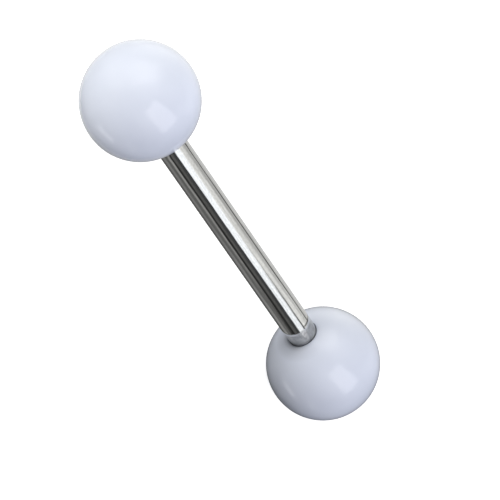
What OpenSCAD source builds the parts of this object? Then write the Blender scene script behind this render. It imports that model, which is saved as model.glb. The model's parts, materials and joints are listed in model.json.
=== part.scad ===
// Straight barbell for a piercing: a polished steel bar with a threaded post at each end,
// and two round balls that screw onto the posts.
// The bar's axis lies along X, and the barbell rests on its two balls. Lengths are in millimetres.

/* [Bar] */
// Length that is worn: the polished bar from shoulder to shoulder
wear_len = 18; // [10:1:30]
// Diameter of the bar: 1.6 mm is 14 gauge
bar_d = 1.6; // [1.5:0.1:2.4]
// Radius of the rounded shoulder at each end of the bar
shoulder_r = 0.1; // [0.05:0.01:0.15]

/* [Balls] */
// Diameter of each ball
ball_d = 6; // [5:0.5:8]
// How far the ball's countersunk mouth reaches past the bar's surface, all round
mouth_rim = 0.09; // [0.05:0.01:0.12]
// Width of the flat face round the mouth
face_rim = 0.03; // [0.02:0.01:0.08]

/* [Thread] */
// Outer diameter of the thread on each post
thread_d = 1.2; // [1:0.05:1.25]
// Distance from one turn of the thread to the next
pitch = 0.25; // [0.2:0.05:0.3]
// Number of turns on each post
turns = 10; // [6:1:12]
// Length of the plain neck between the bar's end and the first turn
neck_len = 0.3; // [0.2:0.1:0.5]
// Length of the plain tip after the last turn
tip_len = 0.2; // [0.1:0.05:0.3]

/* [Fit] */
// Gap between the bar's shoulder and the countersink that it seats in
seat_gap = 0.03; // [0.02:0.01:0.1]
// Gap all round the thread inside the ball's hole
thread_gap = 0.03; // [0.02:0.01:0.08]
// Room left past the post's tip, before the hole's drilled point
end_room = 0.3; // [0.1:0.1:0.6]

/* [Hidden] */

$fn = 96;
// Included angle of the drill that made the ball's hole
DRILL_ANGLE = 118;
// Steps in each rounded shoulder of the bar
SHOULDER_STEPS = 5;
// Shares of the pitch taken by a flank and by the crest; the root takes the rest
FLANK_SHARE = 5 / 16;
CREST_SHARE = 1 / 8;
// How far a cutter starts outside the solid that it cuts
CUT_MARGIN = 0.5;

bar_r = bar_d / 2;
bar_end_x = wear_len / 2;

// A thread's flanks lean 30 degrees from square to the axis
crest_r = thread_d / 2;
root_r = crest_r - FLANK_SHARE * pitch / tan(30);
thread_start_x = bar_end_x + neck_len;
thread_end_x = thread_start_x + turns * pitch;
tip_x = thread_end_x + tip_len;

// The countersink leans 45 degrees and lies the seat gap away from the rounded shoulder
mouth_r = bar_r + mouth_rim;
shoulder_x = bar_end_x - shoulder_r;
face_x = shoulder_x + bar_r - shoulder_r - mouth_r + sqrt(2) * (shoulder_r + seat_gap);

ball_r = ball_d / 2;
face_r = mouth_r + face_rim;
ball_x = face_x + sqrt(ball_r * ball_r - face_r * face_r);
bore_r = crest_r + thread_gap;
bore_end_x = tip_x + end_room;
drill_point_x = bore_end_x + bore_r / tan(DRILL_ANGLE / 2);

// The rounded shoulder at the bar's end, from the polished surface to the end face, as [x, radius]
function shoulder() = [
    for (step = [0 : SHOULDER_STEPS])
        let (angle = 90 * step / SHOULDER_STEPS)
            [shoulder_x + shoulder_r * sin(angle), bar_r - shoulder_r + shoulder_r * cos(angle)]
];

// One turn of the thread as a ridge, as [x, radius]
function ridge(x) = [
    [x, root_r],
    [x + FLANK_SHARE * pitch, crest_r],
    [x + (FLANK_SHARE + CREST_SHARE) * pitch, crest_r],
    [x + (2 * FLANK_SHARE + CREST_SHARE) * pitch, root_r]
];

// The right half of the bar's outline, from the polished surface to the middle of the tip
function half_outline() = concat(
    shoulder(),
    [[bar_end_x, root_r]],
    [for (turn = [0 : turns - 1]) each ridge(thread_start_x + turn * pitch)],
    [[tip_x - tip_len / 2, root_r], [tip_x, root_r - tip_len / 2], [tip_x, 0]]
);

// The same outline for the left half, run the other way so that the two join up
function mirrored(outline) = [
    for (i = [len(outline) - 1 : -1 : 0]) [-outline[i].x, outline[i].y]
];

// Turns an outline of [x, radius] points about the bar's axis
module turned(outline) {
    translate([0, 0, ball_r])
        rotate([0, 90, 0])
            rotate_extrude()
                polygon([for (p = outline) [p.y, p.x]]);
}

// The polished bar and both threaded posts, turned from one rod
module bar() {
    color("silver")
        turned(concat(half_outline(), mirrored(half_outline())));
}

// Everything that is cut from a ball: the flat face, the countersink, the hole and its drilled point
module face_and_hole() {
    turned([
        [face_x - CUT_MARGIN, 0],
        [face_x - CUT_MARGIN, face_r + CUT_MARGIN],
        [face_x, face_r + CUT_MARGIN],
        [face_x, mouth_r],
        [face_x + mouth_r - bore_r, bore_r],
        [bore_end_x, bore_r],
        [drill_point_x, 0]
    ]);
}

// The right ball, with its poles on the bar's axis as a lathe leaves it
module ball() {
    color("ghostwhite")
        difference() {
            translate([ball_x, 0, ball_r]) rotate([0, 90, 0]) sphere(r = ball_r);
            face_and_hole();
        }
}

module ball_left() {
    mirror([1, 0, 0]) ball();
}

module ball_right() {
    ball();
}

bar();
ball_left();
ball_right();
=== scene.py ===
"""Looks for a straight piercing barbell: a polished steel bar between two white acrylic balls."""

import json
import math

import bmesh
import bpy
from mathutils import Matrix, Vector


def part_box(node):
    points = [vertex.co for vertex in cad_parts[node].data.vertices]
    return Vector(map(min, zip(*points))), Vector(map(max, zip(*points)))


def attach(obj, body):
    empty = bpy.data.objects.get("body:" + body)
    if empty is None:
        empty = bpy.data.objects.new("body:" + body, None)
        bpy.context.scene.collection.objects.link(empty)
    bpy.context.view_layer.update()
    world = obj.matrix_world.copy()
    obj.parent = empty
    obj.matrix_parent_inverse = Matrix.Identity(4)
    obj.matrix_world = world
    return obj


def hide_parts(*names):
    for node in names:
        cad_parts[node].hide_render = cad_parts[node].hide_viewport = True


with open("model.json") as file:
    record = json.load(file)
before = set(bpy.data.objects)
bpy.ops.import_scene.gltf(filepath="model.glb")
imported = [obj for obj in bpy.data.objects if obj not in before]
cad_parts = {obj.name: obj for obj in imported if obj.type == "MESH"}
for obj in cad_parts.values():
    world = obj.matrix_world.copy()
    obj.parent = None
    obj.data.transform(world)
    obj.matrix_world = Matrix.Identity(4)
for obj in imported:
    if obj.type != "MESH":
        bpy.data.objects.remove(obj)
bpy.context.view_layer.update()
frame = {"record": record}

MM = 0.001
FULL_TURN = 2 * math.pi

# Sizes that the frame gives
near_low, near_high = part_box("ball_right")
BALL_R = (near_high.y - near_low.y) / 2
AXIS_Z = BALL_R
BALL_X = near_high.x - BALL_R
BAR_R = next(m for m in frame["record"]["mounts"] if m["name"] == "bar_shank")["dims"]["r_mm"] * MM
TIP_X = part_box("bar")[1].x

# The bar, from the middle outwards
WEAR_LENGTH = 18 * MM
SHOULDER_R = 0.1 * MM
SHOULDER_STEPS = 8
BAR_SEGMENTS = 144
# A short stretch near each end, over which polishing takes the bar down a little
EASE_FROM_END = 1.45 * MM
EASE_LENGTH = 0.75 * MM
EASE_DROP = 0.016 * MM
EASE_STEPS = 24

# The thread on the posts and in the balls
THREAD_R = 0.6 * MM
PITCH = 0.25 * MM
FLANK_SHARE = 5 / 16
CREST_SHARE = 1 / 8
THREAD_TURNS = 10
NECK_LENGTH = 0.3 * MM
TIP_CHAMFER = 0.1 * MM
ROWS_PER_TURN = 10

# The balls
MOUTH_R = BAR_R + 0.09 * MM
FACE_R = MOUTH_R + 0.03 * MM
FACE_EDGE = 0.01 * MM
LIP_R = BAR_R + 0.01 * MM
COUNTERSINK_STEPS = 6
THREAD_GAP = 0.03 * MM
END_ROOM = 0.3 * MM
DRILL_ANGLE = math.radians(118)
BALL_ROWS = 120
BALL_SEGMENTS = 192

BAR_END_X = WEAR_LENGTH / 2
THREAD_START_X = BAR_END_X + NECK_LENGTH
THREAD_DEPTH = FLANK_SHARE * PITCH / math.tan(math.radians(30))
ROOT_R = THREAD_R - THREAD_DEPTH
FACE_X = BALL_X - math.sqrt(BALL_R**2 - FACE_R**2)
BORE_R = THREAD_R + THREAD_GAP
SHARP_ANGLE = math.radians(24)

# Where the photograph, 500 pixels square, shows the balls
PHOTO_SIDE = 500
NEAR_BALL_PX = (140.22, 100.69)
NEAR_BALL_R_PX = 61.63
FAR_BALL_PX = (323.05, 363.42)
FAR_BALL_R_PX = 57.14
SENSOR_MM = 36
# How far round the bar's axis the camera stands above the floor, on the +Y side
CAMERA_TURN = math.radians(45)


def add_object(name, data):
    """A new object in the scene."""
    made = bpy.data.objects.new(name, data)
    bpy.context.scene.collection.objects.link(made)
    return made


def camera_point(pixel, metres_per_pixel, focal_px):
    """A photographed point in the camera's own axes: right, up and towards the viewer."""
    right = metres_per_pixel * (pixel[0] - PHOTO_SIDE / 2)
    up = -metres_per_pixel * (pixel[1] - PHOTO_SIDE / 2)
    return Vector((right, up, -metres_per_pixel * focal_px))


def make_camera():
    """The camera that sees both balls at the photograph's places and widths."""
    near_scale, far_scale = BALL_R / NEAR_BALL_R_PX, BALL_R / FAR_BALL_R_PX
    flat_near = camera_point(NEAR_BALL_PX, near_scale, 0)
    flat_far = camera_point(FAR_BALL_PX, far_scale, 0)
    depth = math.sqrt((2 * BALL_X) ** 2 - (flat_near - flat_far).length_squared)
    focal_px = depth / (far_scale - near_scale)
    near = camera_point(NEAR_BALL_PX, near_scale, focal_px)
    far = camera_point(FAR_BALL_PX, far_scale, focal_px)

    # The row's axes as the camera sees them
    along = (near - far).normalized()
    towards_viewer = Vector((0, 0, 1))
    facing = (towards_viewer - towards_viewer.dot(along) * along).normalized()
    across = along.cross(facing)
    up = math.sin(CAMERA_TURN) * facing + math.cos(CAMERA_TURN) * across
    camera_to_row = Matrix((along, up.cross(along), up))

    data = bpy.data.cameras.new("camera")
    data.sensor_width = SENSOR_MM
    data.lens = SENSOR_MM * focal_px / PHOTO_SIDE
    data.clip_start = MM
    camera = add_object("camera", data)
    near_in_row = Vector((BALL_X, 0, AXIS_Z))
    camera.matrix_world = Matrix.Translation(near_in_row - camera_to_row @ near) @ camera_to_row.to_4x4()
    bpy.context.scene.camera = camera


def lathe(name, rows, segments):
    """A closed mesh turned about the bar's axis. A row is (x, radius), where radius is a length or a
    function of the angle. The first and last rows have no radius, and close the ends."""
    vertices = [(rows[0][0], 0, AXIS_Z)]
    for x, radius in rows[1:-1]:
        for i in range(segments):
            angle = FULL_TURN * i / segments
            r = radius(angle) if callable(radius) else radius
            vertices.append((x, r * math.cos(angle), AXIS_Z + r * math.sin(angle)))
    vertices.append((rows[-1][0], 0, AXIS_Z))

    faces = []
    last = len(vertices) - 1
    last_ring = last - segments
    for i in range(segments):
        j = (i + 1) % segments
        faces.append((0, 1 + j, 1 + i))
        faces.append((last, last_ring + i, last_ring + j))
        for row in range(len(rows) - 3):
            a = 1 + row * segments
            b = a + segments
            faces.append((a + i, a + j, b + j, b + i))

    mesh = bpy.data.meshes.new(name)
    mesh.from_pydata(vertices, [], faces)
    mesh.validate()
    mesh.shade_smooth()
    mesh.set_sharp_from_angle(angle=SHARP_ANGLE)
    return add_object(name, mesh)


def ridge_height(phase):
    """Height of the thread's ridge, from 0 at the root to 1 at the crest, over one turn."""
    from_crest = abs(phase - 0.5)
    return min(1, max(0, (CREST_SHARE / 2 + FLANK_SHARE - from_crest) / FLANK_SHARE))


def thread_rows(side, start_x, end_x, root_r, crest_r, lead):
    """Rows of a right-handed thread that fades out over its first and last half turn. The lead shifts its
    ridge along the bar, as a share of the pitch."""
    count = round((end_x - start_x) / PITCH * ROWS_PER_TURN)

    def radius_at(x):
        fade = min(1, (x - start_x) / PITCH * 2, (end_x - x) / PITCH * 2)

        def radius(angle):
            phase = (side * x / PITCH - angle / FULL_TURN + lead) % 1
            return root_r + (crest_r - root_r) * ridge_height(phase) * fade

        return radius

    xs = [start_x + (end_x - start_x) * i / count for i in range(count + 1)]
    return [(side * x, radius_at(x)) for x in xs]


def eased_radius(share):
    """The bar's radius over the eased stretch, from share 0 at its start to 1 at its end."""
    return BAR_R - EASE_DROP * (share - math.sin(FULL_TURN * share) / FULL_TURN)


def bar_half_rows(side):
    """Rows of one half of the bar, from its polished middle to the post's tip."""
    ease_x = BAR_END_X - EASE_FROM_END
    steps = [i / EASE_STEPS for i in range(EASE_STEPS + 1)]
    ease = [(ease_x + EASE_LENGTH * share, eased_radius(share)) for share in steps]
    turns = [math.pi / 2 * i / SHOULDER_STEPS for i in range(SHOULDER_STEPS + 1)]
    centre_x, centre_r = BAR_END_X - SHOULDER_R, BAR_R - EASE_DROP - SHOULDER_R
    shoulder = [(centre_x + SHOULDER_R * math.sin(a), centre_r + SHOULDER_R * math.cos(a)) for a in turns]
    plain = ease + shoulder + [(BAR_END_X, ROOT_R)]
    thread_end_x = THREAD_START_X + THREAD_TURNS * PITCH
    thread = thread_rows(side, THREAD_START_X, thread_end_x, ROOT_R, THREAD_R, lead=0)
    tip = [(TIP_X - TIP_CHAMFER, ROOT_R), (TIP_X, ROOT_R - TIP_CHAMFER), (TIP_X, 0)]
    return [(side * x, r) for x, r in plain] + thread + [(side * x, r) for x, r in tip]


def make_bar():
    """The polished bar and both threaded posts, turned from one rod."""
    rows = list(reversed(bar_half_rows(-1))) + bar_half_rows(1)
    return lathe("steel_bar", rows, BAR_SEGMENTS)


def make_ball(name, side):
    """A ball with a flat face, a countersink and a tapped blind hole."""
    hole_end_x = TIP_X + END_ROOM
    drill_point_x = hole_end_x + BORE_R / math.tan(DRILL_ANGLE / 2)
    thread_start_x = FACE_X + MOUTH_R - BORE_R
    hole = [(drill_point_x * side, 0), (hole_end_x * side, BORE_R)]
    thread = thread_rows(side, thread_start_x, TIP_X, BORE_R, BORE_R - THREAD_DEPTH, lead=0.5)
    countersink = []
    for i in range(COUNTERSINK_STEPS + 1):
        r = BORE_R + (LIP_R - BORE_R) * i / COUNTERSINK_STEPS
        countersink.append((side * (FACE_X + MOUTH_R - r), r))
    lip = [(side * (FACE_X + FACE_EDGE), LIP_R), (side * FACE_X, LIP_R + FACE_EDGE)]
    face = [(side * FACE_X, MOUTH_R), (side * FACE_X, FACE_R - FACE_EDGE)]
    face_angle = math.asin((FACE_R + FACE_EDGE) / BALL_R)
    sphere = []
    for i in range(BALL_ROWS):
        angle = face_angle + (math.pi - face_angle) * i / BALL_ROWS
        sphere.append((side * (BALL_X - BALL_R * math.cos(angle)), BALL_R * math.sin(angle)))
    pole = [(side * (BALL_X + BALL_R), 0)]
    rows = hole + list(reversed(thread))[:-1] + countersink + lip + face + sphere + pole
    if side < 0:
        rows.reverse()
    return lathe(name, rows, BALL_SEGMENTS)


def node(tree, kind, inputs=None, **settings):
    """A shader node with its settings and its sockets' values."""
    made = tree.nodes.new(kind)
    for key, value in settings.items():
        setattr(made, key, value)
    for key, value in (inputs or {}).items():
        made.inputs[key].default_value = value
    return made


def new_material(name):
    """A material with its node tree, its shader and a node that gives object coordinates."""
    material = bpy.data.materials.new(name)
    material.use_nodes = True
    tree = material.node_tree
    return material, tree, tree.nodes["Principled BSDF"], node(tree, "ShaderNodeTexCoord").outputs["Object"]


def mapped(tree, value, low, high, to_low=0, to_high=1):
    """A node's output mapped from one range to another and held at its ends."""
    spread = node(tree, "ShaderNodeMapRange")
    for key, number in (("From Min", low), ("From Max", high), ("To Min", to_low), ("To Max", to_high)):
        spread.inputs[key].default_value = number
    tree.links.new(value, spread.inputs["Value"])
    return spread.outputs[0]


# The range that nearly all of a noise's values lie in
NOISE_RANGE = (0.3, 0.7)


def mottled(tree, place, scale, low=0, high=1, detail=3):
    """A noise that is mapped to a range, as a node's output."""
    noise = node(tree, "ShaderNodeTexNoise", {"Scale": scale, "Detail": detail})
    tree.links.new(place, noise.inputs["Vector"])
    return mapped(tree, noise.outputs["Fac"], *NOISE_RANGE, low, high)


def streaked(tree, place, scales, detail):
    """A noise with a scale of its own along each axis, as a node's output."""
    stretch = node(tree, "ShaderNodeMapping", {"Scale": scales})
    tree.links.new(place, stretch.inputs["Vector"])
    return mottled(tree, stretch.outputs[0], 1, detail=detail)


def bumps(tree, shader, height, strength, depth):
    """Gives a shader a fine relief from a height that runs from 0 to 1."""
    bump = node(tree, "ShaderNodeBump", {"Strength": strength, "Distance": depth})
    tree.links.new(height, bump.inputs["Height"])
    tree.links.new(bump.outputs[0], shader.inputs["Normal"])


def blended(tree, factor, first, second, blend_type="MIX"):
    """Two colours mixed by a factor, as a node's output. All three may be values or node outputs."""
    mix = node(tree, "ShaderNodeMix", data_type="RGBA", blend_type=blend_type)
    for socket, value in ((0, factor), (6, first), (7, second)):
        if isinstance(value, bpy.types.NodeSocket):
            tree.links.new(value, mix.inputs[socket])
        elif socket == 0:
            mix.inputs[socket].default_value = value
        else:
            mix.inputs[socket].default_value = tuple(value) + (1,)
    return mix.outputs[2]


# The direction from the bar's axis to its side that the light reaches least: down, on the camera's side
SHADED_SIDE = (0, math.cos(CAMERA_TURN), -math.sin(CAMERA_TURN))


def round_the_axis(tree, place):
    """A point's place along the bar, its distance from the bar's axis and how far it lies to the shaded
    side of the axis as a share of that distance, as three node outputs."""
    link = tree.links.new
    from_axis = node(tree, "ShaderNodeVectorMath", {1: (0, 0, AXIS_Z)}, operation="SUBTRACT")
    link(place, from_axis.inputs[0])
    axes = node(tree, "ShaderNodeSeparateXYZ")
    link(from_axis.outputs[0], axes.inputs[0])
    across = node(tree, "ShaderNodeVectorMath", {1: (0, 1, 1)}, operation="MULTIPLY")
    link(from_axis.outputs[0], across.inputs[0])
    radius = node(tree, "ShaderNodeVectorMath", operation="LENGTH")
    link(across.outputs[0], radius.inputs[0])
    to_shade = node(tree, "ShaderNodeVectorMath", {1: SHADED_SIDE}, operation="DOT_PRODUCT")
    link(from_axis.outputs[0], to_shade.inputs[0])
    side = node(tree, "ShaderNodeMath", operation="DIVIDE")
    link(to_shade.outputs["Value"], side.inputs[0])
    link(radius.outputs["Value"], side.inputs[1])
    return axes.outputs["X"], radius.outputs["Value"], side.outputs[0]


def colour_ramp(tree, value, stops, low, high):
    """The colour that the stops give for a node's output, which runs from 0 to 1 as the stops' places run
    from low to high."""
    ramp = node(tree, "ShaderNodeValToRGB")
    elements = ramp.color_ramp.elements
    elements.remove(elements[-1])
    for i, (place, colour) in enumerate(stops):
        position = (place - low) / (high - low)
        element = elements[0] if i == 0 else elements.new(position)
        element.position = position
        element.color = list(colour) + [1]
    tree.links.new(value, ramp.inputs[0])
    return ramp.outputs["Color"]


def product(tree, first, second):
    """Two node outputs multiplied."""
    times = node(tree, "ShaderNodeMath", operation="MULTIPLY")
    tree.links.new(first, times.inputs[0])
    tree.links.new(second, times.inputs[1])
    return times.outputs[0]


def size_of(tree, value):
    """A node's output without its sign."""
    plain = node(tree, "ShaderNodeMath", operation="ABSOLUTE")
    tree.links.new(value, plain.inputs[0])
    return plain.outputs[0]


STEEL = (0.63, 0.63, 0.61)
ROOT_STEEL = (0.30, 0.29, 0.28)
# Noise scales, per metre, along and across the bar
HAIRLINE_SCALES = (300, 11000, 11000)
GRAIN_SCALES = (5000, 15000, 15000)
# Shares of the steel's colour between which the hairlines run, and where the grain is darkest
HAIRLINE_TONES = (1.15, 0.99)
GRAIN_TONE = 0.86
# The polished steel's roughness, between which the hairlines run, and what the dull stretch adds to it
POLISHED_ROUGHNESS = (0.03, 0.07)
DULL_ROUGHNESS = 0.10
HAIRLINE_DEPTH = 0.001 * MM

# The last stretch of the polished bar beside the left ball, which is rougher and carries a painted
# reflection
# of the ball with painted shade: where it starts and where it is full, both counted from the bar's end, and
# how much shorter it is on the right
DULL_AND_REFLECTION_FROM_END = (1.24 * MM, 1.04 * MM)
SHORTER_ON_RIGHT = 0.62 * MM
# The dull stretch's colour round the bar, a painted reflection of the ball with painted shade: share of
# the shaded side, from -1 to 1, and the colour there
PAINTED_REFLECTION_TONES = [
    (-0.40, (0.40, 0.40, 0.39)),
    (-0.27, (0.22, 0.22, 0.22)),
    (-0.05, (0.22, 0.22, 0.22)),
    (0.15, (0.46, 0.46, 0.45)),
]
# The dull stretch and its painted reflection are spotted: the noise's scale, per metre, and how strong they
# are at the least and at the most
SPOT_SCALE = 4800
SPOT_DULL_AND_REFLECTION = (0.35, 1)
# Painted rings where that stretch starts, a dark line of painted shade and light lines of painted highlight
# at the edge of the painted reflection: their places, counted from the bar's end, their half widths, their
# colours and the shares of the shaded side between which each fades in
PAINTED_RINGS = [
    (1.27 * MM, 0.12 * MM, (0.10, 0.10, 0.10), (-0.25, -0.45)),
    (1.09 * MM, 0.13 * MM, (0.74, 0.74, 0.74), (-0.2, -0.3)),
    (1.09 * MM, 0.13 * MM, (0.95, 0.95, 0.94), (0.2, 0.4)),
]


def polished_colour(tree, place, hairlines):
    """The steel's colour with its hairlines and grain, as a node's output."""
    grain = streaked(tree, place, GRAIN_SCALES, detail=2)
    light, dark = [[tone * c for c in STEEL] for tone in HAIRLINE_TONES]
    lined = blended(tree, hairlines, light, dark)
    return blended(tree, grain, lined, blended(tree, 1, lined, [GRAIN_TONE] * 3, "MULTIPLY"))


def place_from_end(tree, x):
    """How far a point lies from the bar's nearer end, as a node's output. On the right it counts as
    farther, so that the dull stretch with its painted reflection is shorter there."""
    from_end = node(tree, "ShaderNodeMath", operation="SUBTRACT")
    end_x = mapped(tree, x, -MM, MM, BAR_END_X, BAR_END_X + SHORTER_ON_RIGHT)
    tree.links.new(end_x, from_end.inputs[0])
    tree.links.new(size_of(tree, x), from_end.inputs[1])
    return from_end.outputs[0]


def with_painted_rings(tree, colour, from_end, side):
    """A colour with the painted highlight and shade rings laid over it, as a node's output."""
    for middle, half_width, painted_ring_colour, (faded, full) in PAINTED_RINGS:
        rise = mapped(tree, from_end, middle - half_width, middle)
        fall = mapped(tree, from_end, middle + half_width, middle)
        ring = product(tree, product(tree, rise, fall), mapped(tree, side, faded, full))
        colour = blended(tree, ring, colour, painted_ring_colour)
    return colour


def steel_material():
    """Mirror-polished surgical steel: fine polishing lines along the bar, a duller stretch beside each ball
    with a painted reflection of the ball, painted shade and painted highlight rings, and a darker thread."""
    material, tree, shader, place = new_material("polished_steel")
    x, radius, side = round_the_axis(tree, place)
    hairlines = streaked(tree, place, HAIRLINE_SCALES, detail=3)
    from_end = place_from_end(tree, x)
    spotted = mottled(tree, place, SPOT_SCALE, *SPOT_DULL_AND_REFLECTION)
    dull_and_reflection = product(tree, mapped(tree, from_end, *DULL_AND_REFLECTION_FROM_END), spotted)

    # The dull stretch's colour is a painted reflection of the ball, with painted shade round the bar
    painted_reflection_colour = colour_ramp(tree, mapped(tree, side, -1, 1), PAINTED_REFLECTION_TONES, -1, 1)
    colour = blended(tree, dull_and_reflection, polished_colour(tree, place, hairlines), painted_reflection_colour)
    # Painted highlight and shade rings at the start of the dull stretch
    colour = with_painted_rings(tree, colour, from_end, side)
    colour = blended(tree, mapped(tree, radius, THREAD_R, ROOT_R), colour, ROOT_STEEL)
    tree.links.new(colour, shader.inputs["Base Color"])
    shader.inputs["Metallic"].default_value = 1

    rough = node(tree, "ShaderNodeMath", {1: DULL_ROUGHNESS}, operation="MULTIPLY_ADD")
    tree.links.new(dull_and_reflection, rough.inputs[0])
    tree.links.new(mapped(tree, hairlines, 0, 1, *POLISHED_ROUGHNESS), rough.inputs[2])
    tree.links.new(rough.outputs[0], shader.inputs["Roughness"])
    bumps(tree, shader, hairlines, strength=1, depth=HAIRLINE_DEPTH)
    return material


# The acrylic's two colours, between which it is cloudy, and the noise's scales, per metre
CLOUDY_WHITES = ((0.73, 0.78, 0.93), (0.75, 0.80, 0.95))
CLOUD_SCALE = 650
POLISH_SCALE = 2600
MARK_SCALE = 5200
ACRYLIC_ROUGHNESS = (0.08, 0.13)
MARK_STRENGTH = 0.35
MARK_DEPTH = 0.002 * MM
ACRYLIC_IOR = 1.49
# Painted shade on the acrylic round the steel post, where the bar shades the ball: distance from
# the bar's axis and the colour's share there
PAINTED_POST_SHADE = [
    (0.86 * MM, 0.36),
    (0.92 * MM, 0.55),
    (1.10 * MM, 0.77),
    (1.60 * MM, 1.0),
]
PAINTED_POST_SHADE_REACH = 2 * MM
# Its strength on the bar's lit side and on its shaded side, and the shares of the shaded side between which
# it grows from the one to the other
PAINTED_POST_SHADE_STRENGTH = (0.05, 1.0)
PAINTED_POST_SHADE_SIDES = (-0.3, 0.9)


def painted_post_shade(tree, place):
    """The share of the acrylic's colour that the painted shade round the bar leaves, as a node's output."""
    x, radius, side = round_the_axis(tree, place)
    stops = [(distance, [share] * 3) for distance, share in PAINTED_POST_SHADE]
    share = colour_ramp(tree, mapped(tree, radius, 0, PAINTED_POST_SHADE_REACH), stops, 0, PAINTED_POST_SHADE_REACH)
    # The ball's far side is as near the axis, but has no post under it
    inner = mapped(tree, size_of(tree, x), BALL_X, BALL_X - BALL_R / 2)
    # The painted shade is strongest on the side of the bar that the light reaches least
    strength = product(tree, inner, mapped(tree, side, *PAINTED_POST_SHADE_SIDES, *PAINTED_POST_SHADE_STRENGTH))
    return blended(tree, strength, (1, 1, 1), share)


def acrylic_material():
    """Polished cool-white acrylic: faintly cloudy, with fine polishing marks, and with painted shade round
    the post.
    """
    material, tree, shader, place = new_material("white_acrylic")
    cloudy = blended(tree, mottled(tree, place, CLOUD_SCALE), *CLOUDY_WHITES)
    # Painted shade round the post darkens the cloudy white
    colour = blended(tree, 1, cloudy, painted_post_shade(tree, place), "MULTIPLY")
    tree.links.new(colour, shader.inputs["Base Color"])
    rough = mottled(tree, place, POLISH_SCALE, *ACRYLIC_ROUGHNESS, detail=4)
    tree.links.new(rough, shader.inputs["Roughness"])
    bumps(tree, shader, mottled(tree, place, MARK_SCALE, detail=5), MARK_STRENGTH, MARK_DEPTH)
    shader.inputs["IOR"].default_value = ACRYLIC_IOR
    return material


# The tints of the studio's lights
WARM = (1.0, 0.985, 0.92)
COOL = (0.97, 1.0, 1.06)
NEUTRAL = (1.0, 1.0, 1.0)
PINKISH = (1.0, 0.98, 1.0)
# The panels of the light tent that the bar mirrors: where each starts and ends, in degrees round the bar's
# axis, its brightness towards the near and the far ball, and its tint. Between two panels the light fades
# from the one to the other.
TENT_PANELS = [
    (-180, -128, 0.12, 0.12, NEUTRAL),
    (-120, -104, 0.25, 0.35, NEUTRAL),
    (-95, -80, 0.16, 0.18, NEUTRAL),
    (-69, -63, 0.40, 0.05, NEUTRAL),
    (-57, -49, 0.03, 0.03, NEUTRAL),
    (-42, -34, 0.13, 0.13, NEUTRAL),
    (-22, -9, 0.07, 0.07, COOL),
    (-5, 30, 1.50, 1.40, COOL),
    (33, 39, 1.20, 0.05, NEUTRAL),
    (44, 60, 1.00, 1.15, NEUTRAL),
    (72, 92, 0.60, 0.85, NEUTRAL),
    (97, 99, 0.04, 0.02, NEUTRAL),
    (108, 180, 0.75, 0.75, NEUTRAL),
]
TENT_R = 0.35
TENT_HALF_LENGTH = 2.5
TENT_SEGMENTS = 96
# Between which places along the tent its brightness goes over from the near ball's to the far ball's
TENT_NEAR_FAR = (-0.367, -0.395)


def tent_light(tree, turn, towards_far):
    """The tent's light towards one of the balls, as a node's output. The turn runs from 0 to 1 once round
    the bar's axis."""
    stops = []
    for start, end, near, far, tint in TENT_PANELS:
        brightness = far if towards_far else near
        light = [brightness * t for t in tint]
        stops += [(start, light), (end, light)]
    return colour_ramp(tree, turn, stops, -180, 180)


def glow_material(name):
    """A material with an empty node tree, and the tree."""
    material = bpy.data.materials.new(name)
    material.use_nodes = True
    material.node_tree.nodes.clear()
    return material, material.node_tree


def tent_material():
    """The glow of the light tent, by the angle round its own axis."""
    material, tree = glow_material("tent_panels")
    axes = node(tree, "ShaderNodeSeparateXYZ")
    tree.links.new(node(tree, "ShaderNodeTexCoord").outputs["Object"], axes.inputs[0])
    angle = node(tree, "ShaderNodeMath", operation="ARCTAN2")
    tree.links.new(axes.outputs["Z"], angle.inputs[0])
    tree.links.new(axes.outputs["Y"], angle.inputs[1])
    turn = mapped(tree, angle.outputs[0], -math.pi, math.pi)
    along = mapped(tree, axes.outputs["X"], *TENT_NEAR_FAR)
    panels = blended(tree, along, tent_light(tree, turn, False), tent_light(tree, turn, True))
    see_through_glow(tree, panels)
    return material


def see_through_glow(tree, colour):
    """The output of a material that glows and lets everything behind it through."""
    glow = node(tree, "ShaderNodeEmission")
    tree.links.new(colour, glow.inputs["Color"])
    both = node(tree, "ShaderNodeAddShader")
    tree.links.new(glow.outputs[0], both.inputs[0])
    tree.links.new(node(tree, "ShaderNodeBsdfTransparent").outputs[0], both.inputs[1])
    tree.links.new(both.outputs[0], node(tree, "ShaderNodeOutputMaterial").inputs["Surface"])


def mirror_group(name, pieces):
    """A collection of the pieces that mirror a light."""
    group = bpy.data.collections.new("mirrors_the_" + name)
    for piece in pieces:
        group.objects.link(piece)
    return group


def mirrored_only_by(glowing, pieces):
    """Keeps a glowing shell out of every view, except as these pieces mirror it."""
    glowing.visible_camera = False
    glowing.visible_diffuse = False
    glowing.visible_shadow = False
    glowing.light_linking.receiver_collection = mirror_group(glowing.name, pieces)


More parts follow.
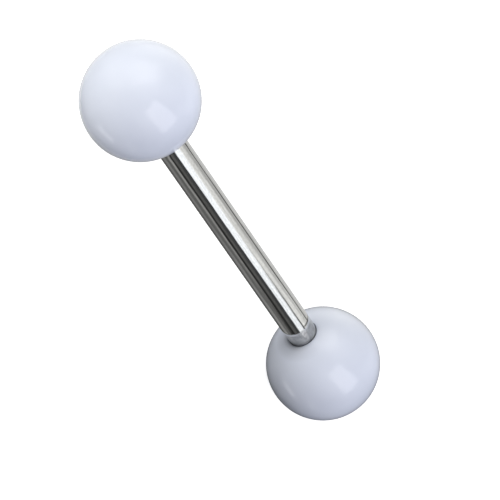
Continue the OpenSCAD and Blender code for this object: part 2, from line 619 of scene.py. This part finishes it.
def make_tent(bar):
    """A wide closed tube of light panels round the bar's axis, which only the bar mirrors."""
    vertices = []
    for x in (-TENT_HALF_LENGTH, TENT_HALF_LENGTH):
        for i in range(TENT_SEGMENTS):
            angle = FULL_TURN * i / TENT_SEGMENTS
            vertices.append((x, TENT_R * math.cos(angle), TENT_R * math.sin(angle)))
    left, right = len(vertices), len(vertices) + 1
    vertices += [(-TENT_HALF_LENGTH, 0, 0), (TENT_HALF_LENGTH, 0, 0)]
    faces = []
    for i in range(TENT_SEGMENTS):
        j = (i + 1) % TENT_SEGMENTS
        faces.append((i, j, j + TENT_SEGMENTS, i + TENT_SEGMENTS))
        faces.append((left, i, j))
        faces.append((right, i + TENT_SEGMENTS, j + TENT_SEGMENTS))
    mesh = bpy.data.meshes.new("light_tent")
    mesh.from_pydata(vertices, [], faces)
    mesh.materials.append(tent_material())
    tent = add_object("light_tent", mesh)
    tent.matrix_world = Matrix.Translation((0, 0, AXIS_Z)) @ Matrix.Rotation(CAMERA_TURN, 4, "X")
    mirrored_only_by(tent, [bar])


# Broad soft glows of the studio round the barbell: the direction each comes from, its brightness as soft
# light, its brightness as the balls mirror it, and its tint
GLOWS = [
    ((0.8, -0.3, 0.5), 1.5, 1.5, WARM),
    ((0.0, 0.8, 0.6), 1.25, 1.25, NEUTRAL),
    ((-0.6, 0.4, 0.7), 0.95, 0.95, COOL),
    ((-0.7, -0.5, 0.5), 0.7, 0.7, COOL),
    ((0.0, -1.0, 0.0), 1.35, 1.35, WARM),
    ((-0.9, 0.4, 0.0), 0.3, 0.3, COOL),
    ((-0.5, -0.85, 0.0), 0.6, 0.5, WARM),
    ((-0.7, 0.0, -0.7), 0.3, 0.0, COOL),
]
# How tightly each is gathered about its direction: the power of the cosine of the angle from it
GLOW_TIGHTNESS = 10
SKY_R = 5
SKY_SUBDIVISIONS = 3


def add_glows(tree, direction, glows):
    """The light of all the glows in a direction, as a node's output. A glow is a direction, a brightness
    and a tint."""
    link = tree.links.new
    light = None
    for towards, brightness, tint in glows:
        facing = node(tree, "ShaderNodeVectorMath", {1: towards}, operation="DOT_PRODUCT")
        ahead = node(tree, "ShaderNodeMath", {1: 0}, operation="MAXIMUM")
        falloff = node(tree, "ShaderNodeMath", {1: GLOW_TIGHTNESS}, operation="POWER")
        colour = [brightness * t for t in tint]
        total = node(tree, "ShaderNodeVectorMath", {1: colour}, operation="MULTIPLY_ADD")
        link(direction, facing.inputs[0])
        link(facing.outputs["Value"], ahead.inputs[0])
        link(ahead.outputs[0], falloff.inputs[0])
        link(falloff.outputs[0], total.inputs[0])
        if light:
            link(light, total.inputs[2])
        light = total.outputs[0]
    return light


def make_world():
    """The glows as soft light. Nothing mirrors the world itself."""
    world = bpy.data.worlds.new("studio")
    bpy.context.scene.world = world
    world.use_nodes = True
    world.cycles_visibility.glossy = False
    tree = world.node_tree
    direction = node(tree, "ShaderNodeTexCoord").outputs["Generated"]
    glows = [(towards, soft, tint) for towards, soft, _, tint in GLOWS]
    tree.links.new(add_glows(tree, direction, glows), tree.nodes["Background"].inputs["Color"])


def make_sky(balls):
    """The same glows on a wide dome, which only the balls mirror."""
    mesh = bpy.data.meshes.new("sky")
    dome = bmesh.new()
    bmesh.ops.create_icosphere(dome, subdivisions=SKY_SUBDIVISIONS, radius=SKY_R)
    dome.to_mesh(mesh)
    dome.free()
    material, tree = glow_material("sky_glows")
    direction = node(tree, "ShaderNodeVectorMath", operation="NORMALIZE")
    tree.links.new(node(tree, "ShaderNodeTexCoord").outputs["Object"], direction.inputs[0])
    glows = [(towards, mirrored, tint) for towards, _, mirrored, tint in GLOWS]
    see_through_glow(tree, add_glows(tree, direction.outputs[0], glows))
    mesh.materials.append(material)
    sky = add_object("sky", mesh)
    mirrored_only_by(sky, balls)


FLOOR_SIDE = 1.2
FLOOR_COLOUR = (0.85, 0.85, 0.85, 1)
FLOOR_ROUGHNESS = 0.9
# The floor glows a little, so that it is as white as the photograph's ground
FLOOR_GLOW = 0.8
WHITE = (1, 1, 1, 1)


def make_floor():
    """A plain white floor under the barbell."""
    half = FLOOR_SIDE / 2
    corners = [(-half, -half, 0), (half, -half, 0), (half, half, 0), (-half, half, 0)]
    mesh = bpy.data.meshes.new("floor")
    mesh.from_pydata(corners, [], [(0, 1, 2, 3)])
    floor = add_object("floor", mesh)
    material, _, shader, _ = new_material("white_floor")
    shader.inputs["Base Color"].default_value = FLOOR_COLOUR
    shader.inputs["Roughness"].default_value = FLOOR_ROUGHNESS
    shader.inputs["Emission Color"].default_value = WHITE
    shader.inputs["Emission Strength"].default_value = FLOOR_GLOW
    mesh.materials.append(material)
    floor.visible_glossy = False
    floor.visible_diffuse = False
    floor.visible_shadow = False


# Softboxes that the balls mirror: where each stands, seen from the middle of the barbell, its long side's
# direction, its length and width, all in metres, its radiance, its tint, and whether it also lights the
# balls
SOFTBOXES = [
    ("end_panel", (0.13, -0.04, 0.01), (-0.2, -0.4, 0.9), 0.24, 0.13, 0.8, WARM, True),
    ("overhead", (-0.045, 0.305, 0.515), (0.98, 0.19, 0.08), 0.70, 0.36, 1.95, PINKISH, True),
    ("low_strip", (-0.024, 0.090, -0.100), (-0.7, 0.4, 0.6), 0.06, 0.030, 1.3, NEUTRAL, False),
    ("back_panel", (-0.22, -0.088, 0.32), (0.45, 0.75, 0.49), 0.30, 0.13, 0.4, NEUTRAL, False),
    ("front_strip", (-0.075, 0.110, -0.035), (-0.8, -0.6, 0.0), 0.07, 0.020, 0.60, NEUTRAL, False),
]
# Small fills close to the near ball: where each stands, seen from that ball's middle, its side and radiance
NEAR_FILLS = [
    ((0.010, 0.008, -0.022), 0.012, 2.5),
    ((0.035, 0.022, -0.018), 0.030, 2.5),
    ((0.030, -0.018, -0.028), 0.030, 1.5),
    ((0.045, 0.000, -0.010), 0.030, 1.0),
    ((0.012, -0.030, 0.030), 0.030, 2.0),
]
# White cards behind the near ball, which only it mirrors, in its rim: the same values
NEAR_CARDS = [
    ((-0.040, -0.063, -0.066), 0.09, 0.4),
    ((-0.052, -0.034, -0.034), 0.10, 0.3),
]
# The direction of one side of the fills and cards. It only turns the squares about the way that they face.
FILL_LONG_SIDE = (0.3, 0.2, 1)


def add_light(name, middle, place, long_side, length, width, radiance, tint):
    """A rectangular soft light that faces the middle it is placed from."""
    data = bpy.data.lights.new(name, "AREA")
    data.color = tint
    data.shape = "RECTANGLE"
    data.size = width
    data.size_y = length
    data.energy = radiance * math.pi * length * width
    light = add_object(name, data)
    back = Vector(place).normalized()
    across = Vector(long_side).cross(back).normalized()
    turn = Matrix((across, back.cross(across), back)).transposed()
    light.matrix_world = Matrix.Translation(Vector(place) + Vector(middle)) @ turn.to_4x4()
    light.visible_camera = False
    return light


def make_softboxes(balls):
    """The softboxes, which only the balls mirror."""
    group = mirror_group("softboxes", balls)
    for name, place, long_side, length, width, radiance, tint, lights_up in SOFTBOXES:
        light = add_light(name, (0, 0, AXIS_Z), place, long_side, length, width, radiance, tint)
        light.visible_diffuse = lights_up
        light.light_linking.receiver_collection = group


def make_near_lights(near_ball):
    """The cards, which only the near ball mirrors, and the small fills, which nothing mirrors."""
    group = mirror_group("cards", [near_ball])
    middle = (BALL_X, 0, AXIS_Z)
    for i, (place, side, radiance) in enumerate(NEAR_CARDS):
        card = add_light("near_card_%d" % i, middle, place, FILL_LONG_SIDE, side, side, radiance, WARM)
        card.visible_diffuse = False
        card.light_linking.receiver_collection = group
    for i, (place, side, radiance) in enumerate(NEAR_FILLS):
        fill = add_light("near_fill_%d" % i, middle, place, FILL_LONG_SIDE, side, side, radiance, WARM)
        fill.visible_glossy = False


make_camera()
steel, acrylic = steel_material(), acrylic_material()
bar = make_bar()
bar.data.materials.append(steel)
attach(bar, "bar")
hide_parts("bar")
balls = []
for name, side in (("ball_left", -1), ("ball_right", 1)):
    ball = make_ball("acrylic_" + name, side)
    ball.data.materials.append(acrylic)
    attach(ball, name)
    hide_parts(name)
    balls.append(ball)
make_tent(bar)
make_sky(balls)
make_world()
make_floor()
make_softboxes(balls)
make_near_lights(balls[1])

bpy.context.scene.view_settings.view_transform = "Standard"
